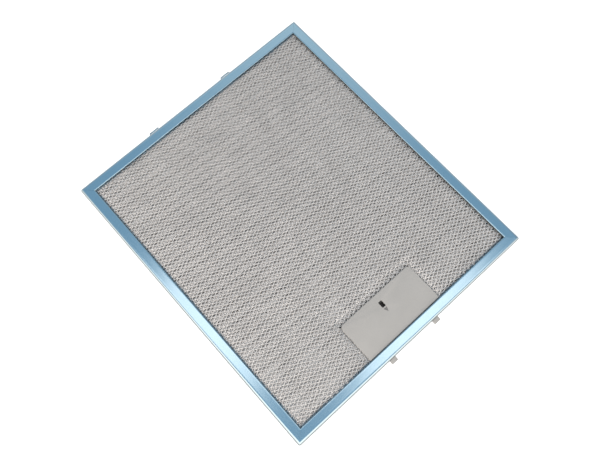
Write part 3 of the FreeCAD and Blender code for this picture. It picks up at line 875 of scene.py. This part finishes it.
class FILTER_OT_sheets(bpy.types.Operator):
    """Replace the plain sheets with sheets of expanded metal"""
    bl_idname = "grease_filter.sheets"
    bl_label = "Build the sheets"

    def execute(self, context):
        finish = context.scene.grease_filter.sheets
        flange = context.scene.grease_filter.frame.flange
        frame_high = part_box("frame")[1]
        plate_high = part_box("latch_plate")[1]
        edge_x = frame_high.x - flange - EDGE_INSET
        edge_y = frame_high.y - TONGUE_REACH - flange - EDGE_INSET
        bright = metal_finish("Expanded aluminium", finish.metal, finish.metal_dull, finish.roughness,
                              SHEET_GRAIN)
        # Painted light: the second sheet's metal is lighter than the face's to lift its shade, and the inner
        # sheets' metal sits between.
        lightened = metal_finish("Second expanded aluminium", finish.second, finish.second_dull,
                             finish.roughness, SHEET_GRAIN)
        dull = metal_finish("Inner expanded aluminium", finish.inner, finish.inner_dull, finish.roughness,
                            SHEET_GRAIN)
        # Painted shade where the face and second sheets go under the flanges.
        shade_edge(bright, finish, edge_x, edge_y)
        shade_edge(lightened, finish, edge_x, edge_y)
        tree, inputs = expanded_metal_tree()
        rows = (
            ("front_mesh", bright, finish.face_short_way, finish.face_strand, 0.0),
            ("second_mesh", lightened, finish.second_short_way, finish.second_strand, finish.second_slope),
            ("middle_mesh", dull, finish.middle_short_way, finish.inner_strand, finish.middle_slope),
            ("fourth_mesh", dull, finish.second_short_way, finish.inner_strand, -finish.second_slope),
            ("back_mesh", bright, finish.face_short_way, finish.face_strand, 0.0),
        )
        for number, (node, metal, short_way, strand, slope) in enumerate(rows):
            low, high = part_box(node)
            half_width = high.x - SHEET_MARGIN
            notch_half, notch_rear = notch(node)
            beside = (low.y + SHEET_MARGIN, notch_rear - PATCH_GAP)
            areas = (((-half_width, half_width), (notch_rear, high.y - SHEET_MARGIN)),
                     ((-half_width, -notch_half), beside),
                     ((notch_half, half_width), beside))
            upright = strand * math.sin(finish.lean) + finish.thickness * math.cos(finish.lean)
            level = high.z - upright / 2 - SHEET_GAP
            if node == "back_mesh":
                level = low.z + upright / 2 + SHEET_GAP
            in_front = node == "front_mesh"
            shared = {"Swing": finish.swing * short_way / 2, "Strand Width": strand,
                      "Strand Thickness": finish.thickness, "Lean": math.pi / 2 - finish.lean,
                      "Edge Dip": finish.edge_dip if in_front else 0.0, "Edge X": edge_x,
                      "Edge Front": -edge_y, "Edge Rear": edge_y,
                      "Wobble": finish.wobble, "Seed": finish.seed + number, "Material": metal,
                      "Dip": DIP_DEPTH if in_front else 0.0,
                      "Dip Line": plate_high.y + DIP_REAR, "Dip Half Width": plate_high.x + DIP_SIDE}
            meshes = []
            for x_range, y_range in areas:
                values = dict(shared, **patch(finish, x_range, y_range, level, short_way, slope))
                meshes.append(evaluated_mesh(tree, inputs, values))
            name = "expanded_" + node
            place_piece(name, joined(meshes, name, metal), "filter", "mesh_aluminium", node)
        return {"FINISHED"}


def softened_copy(node, name, radius, material, cuts):
    """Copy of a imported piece's mesh with boxes cut out of it, whose sharp edges are rounded over."""
    cut = cut_boxes(frame["nodes"][node].data.copy(), cuts)
    bm = bmesh.new()
    bm.from_mesh(cut)
    bpy.data.meshes.remove(cut)
    bmesh.ops.remove_doubles(bm, verts=bm.verts, dist=COPY_WELD)
    bmesh.ops.dissolve_limit(bm, angle_limit=FLAT_TURN, verts=bm.verts, edges=bm.edges)
    sharp = [edge for edge in bm.edges if len(edge.link_faces) == 2 and edge.calc_face_angle() > SHARP_TURN]
    bmesh.ops.bevel(bm, geom=sharp, offset=radius, segments=3, profile=0.5, affect="EDGES",
                    clamp_overlap=True)
    mesh = plain_mesh(bm, name)
    mesh.shade_smooth()
    mesh.set_sharp_from_angle(angle=SLIDER_SMOOTH)
    mesh.materials.clear()
    mesh.materials.append(material)
    return mesh


class FILTER_OT_latch(bpy.types.Operator):
    """Soften the slider's edges and finish the latch"""
    bl_idname = "grease_filter.latch"
    bl_label = "Build the latch"

    def execute(self, context):
        finish = context.scene.grease_filter.latch
        flange = context.scene.grease_filter.frame.flange
        grey = plastic_finish("Grey moulded plastic", finish.slider, SLIDER_ROUGHNESS, finish.grain,
                              SLIDER_RELIEF)
        black = plastic_finish("Black moulded plastic", finish.base, BASE_ROUGHNESS, finish.grain,
                               BASE_RELIEF)
        steel = metal_finish("Spring steel", finish.steel, finish.steel, STEEL_ROUGHNESS, STEEL_GRAIN)
        low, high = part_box("latch_plate")
        step_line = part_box("frame")[0].y + flange + STEP_OVERHANG
        shade_slider(grey, finish, step_line, high.y - MARK_FAR, high.y - MARK_NEAR, high.z - MARK_DEPTH)
        step = ((low.x - MM, low.y - MM, high.z - finish.step), (high.x + MM, step_line, high.z + MM))
        slider = softened_copy("latch_plate", "slider", finish.softening, grey, [step])
        place_piece("slider", slider, "latch", "latch_plastic", "latch_plate")
        give_material("latch_base", black)
        give_material("latch_spring", steel)
        return {"FINISHED"}


def build_world(stage):
    """Room that the camera sees as white. The metal sees a bluish ceiling and pale walls."""
    world = bpy.data.worlds.new("Pale room")
    world.use_nodes = True
    world.node_tree.nodes.clear()
    graph = Graph(world.node_tree)
    direction = graph.node("ShaderNodeTexCoord").outputs["Generated"]
    ahead = (Vector(stage.aim) - Vector(stage.eye)).xy.normalized()
    ahead.rotate(Matrix.Rotation(-stage.room_turn, 2))
    forward = graph.vector_maths("DOT_PRODUCT", direction, (ahead.x, ahead.y, 0.0))
    aside = graph.vector_maths("DOT_PRODUCT", direction, (-ahead.y, ahead.x, 0.0))
    ahead_low = spread(graph, forward, 0.0, AHEAD_SHARE, *AHEAD_RAMP)
    back_low = spread(graph, forward, 0.0, 1.0, *BACK_RAMP)
    side_low = spread(graph, graph.maths("ABSOLUTE", aside), 0.0, 1.0, *SIDE_RAMP)
    low = graph.maths("MAXIMUM", ahead_low, side_low)
    room = blend(graph, low, rgba(stage.room_top), rgba(stage.room_low))
    room = blend(graph, back_low, room, rgba(stage.room_back))
    lit = graph.node("ShaderNodeBackground", {"Color": room, "Strength": 1.0}).outputs[0]
    seen = graph.node("ShaderNodeBackground", {"Color": WHITE, "Strength": 1.0}).outputs[0]
    camera = graph.node("ShaderNodeLightPath").outputs["Is Camera Ray"]
    mixed = graph.node("ShaderNodeMixShader", {0: camera, 1: lit, 2: seen}).outputs[0]
    output = graph.node("ShaderNodeOutputWorld")
    graph.feed(output, "Surface", mixed)
    bpy.context.scene.world = world


def floor_finish(stage):
    """Pale matt floor that is lifted towards white where it is seen, less so under the filter, where this
    leaves a painted shadow.
    """
    material, graph, shader = new_material("Pale floor")
    place = graph.place()
    cloud = noise(graph, place, FLOOR_CLOUD)
    darker = tuple(FLOOR_DARK * value for value in stage.floor)
    graph.feed(shader, "Base Color", blend(graph, cloud, rgba(stage.floor), rgba(darker)))
    graph.feed(shader, "Roughness", FLOOR_ROUGHNESS)
    graph.feed(shader, "Specular IOR Level", FLOOR_GLOSS)
    path = graph.node("ShaderNodeLightPath").outputs
    seen = graph.maths("MAXIMUM", path["Is Camera Ray"], path["Is Glossy Ray"])
    spot = graph.split(place)
    clear_x = graph.maths("GREATER_THAN", graph.maths("ABSOLUTE", spot[0]), CAD_BOX[1][0] - SHADE_SIDE)
    clear_y = graph.maths("GREATER_THAN", graph.maths("ABSOLUTE", spot[1]), CAD_BOX[1][1] - SHADE_END)
    clear = graph.maths("MAXIMUM", graph.maths("MAXIMUM", clear_x, clear_y), stage.under_lift)
    seen = graph.maths("MULTIPLY", seen, clear)
    graph.feed(shader, "Emission Color", WHITE)
    graph.feed(shader, "Emission Strength", graph.maths("MULTIPLY", seen, stage.floor_lift))
    return material


class FILTER_OT_stage(bpy.types.Operator):
    """Lay out the floor, the room, the lamp and the camera"""
    bl_idname = "grease_filter.stage"
    bl_label = "Set the stage"

    def execute(self, context):
        scene = context.scene
        stage = scene.grease_filter.stage
        build_world(stage)
        bm = bmesh.new()
        bmesh.ops.create_grid(bm, x_segments=1, y_segments=1, size=FLOOR_HALF)
        mesh = plain_mesh(bm, "floor")
        for vertex in mesh.vertices:
            vertex.co.z = CAD_BOX[0][2] - FLOOR_DROP
        mesh.materials.append(floor_finish(stage))
        floor = linked("floor", mesh)
        lamp = bpy.data.lights.new("overhead lamp", "AREA")
        lamp.shape = "RECTANGLE"
        lamp.size = stage.lamp_length
        lamp.size_y = stage.lamp_width
        lamp.energy = stage.lamp_radiance * math.pi * stage.lamp_length * stage.lamp_width
        lamp.color = stage.lamp_colour
        hung = bpy.data.objects.new("overhead lamp", lamp)
        hung.location = stage.lamp_place
        hung.rotation_euler = (0.0, 0.0, stage.lamp_turn)
        scene.collection.objects.link(hung)
        lens = bpy.data.cameras.new("camera")
        lens.sensor_fit = "HORIZONTAL"
        lens.sensor_width = SENSOR
        lens.lens = stage.focal
        lens.clip_start = CLIP_START
        eye = bpy.data.objects.new("camera", lens)
        eye.location = stage.eye
        look = Vector(stage.aim) - Vector(stage.eye)
        eye.rotation_mode = "QUATERNION"
        eye.rotation_quaternion = look.to_track_quat("-Z", "Y") @ Quaternion((0.0, 0.0, 1.0), -stage.roll)
        scene.collection.objects.link(eye)
        scene.camera = eye
        scene.view_settings.view_transform = "Standard"
        return {"FINISHED"}


class FILTER_PT_panel(bpy.types.Panel):
    """Sidebar panel that lists the steps and their settings"""
    bl_label = "Grease filter"
    bl_idname = "FILTER_PT_panel"
    bl_space_type = "VIEW_3D"
    bl_region_type = "UI"
    bl_category = "Grease filter"

    def draw(self, context):
        settings = context.scene.grease_filter
        for group, step in STEPS.items():
            column = self.layout.box().column()
            values = getattr(settings, group)
            for name in type(values).__annotations__:
                column.prop(values, name)
            column.operator(step.bl_idname)


STEPS = {"frame": FILTER_OT_frame, "sheets": FILTER_OT_sheets, "latch": FILTER_OT_latch,
         "stage": FILTER_OT_stage}
CLASSES = (FrameFinish, SheetFinish, LatchFinish, StageSettings, FilterSettings, *STEPS.values(),
           FILTER_PT_panel)


def register():
    for item in CLASSES:
        bpy.utils.register_class(item)
    bpy.types.Scene.grease_filter = PointerProperty(type=FilterSettings)


def unregister():
    del bpy.types.Scene.grease_filter
    for item in reversed(CLASSES):
        bpy.utils.unregister_class(item)


def main():
    """Register the steps and run them in order."""
    register()
    bpy.ops.grease_filter.frame()
    bpy.ops.grease_filter.sheets()
    bpy.ops.grease_filter.latch()
    bpy.ops.grease_filter.stage()


if __name__ == "__main__":
    main()
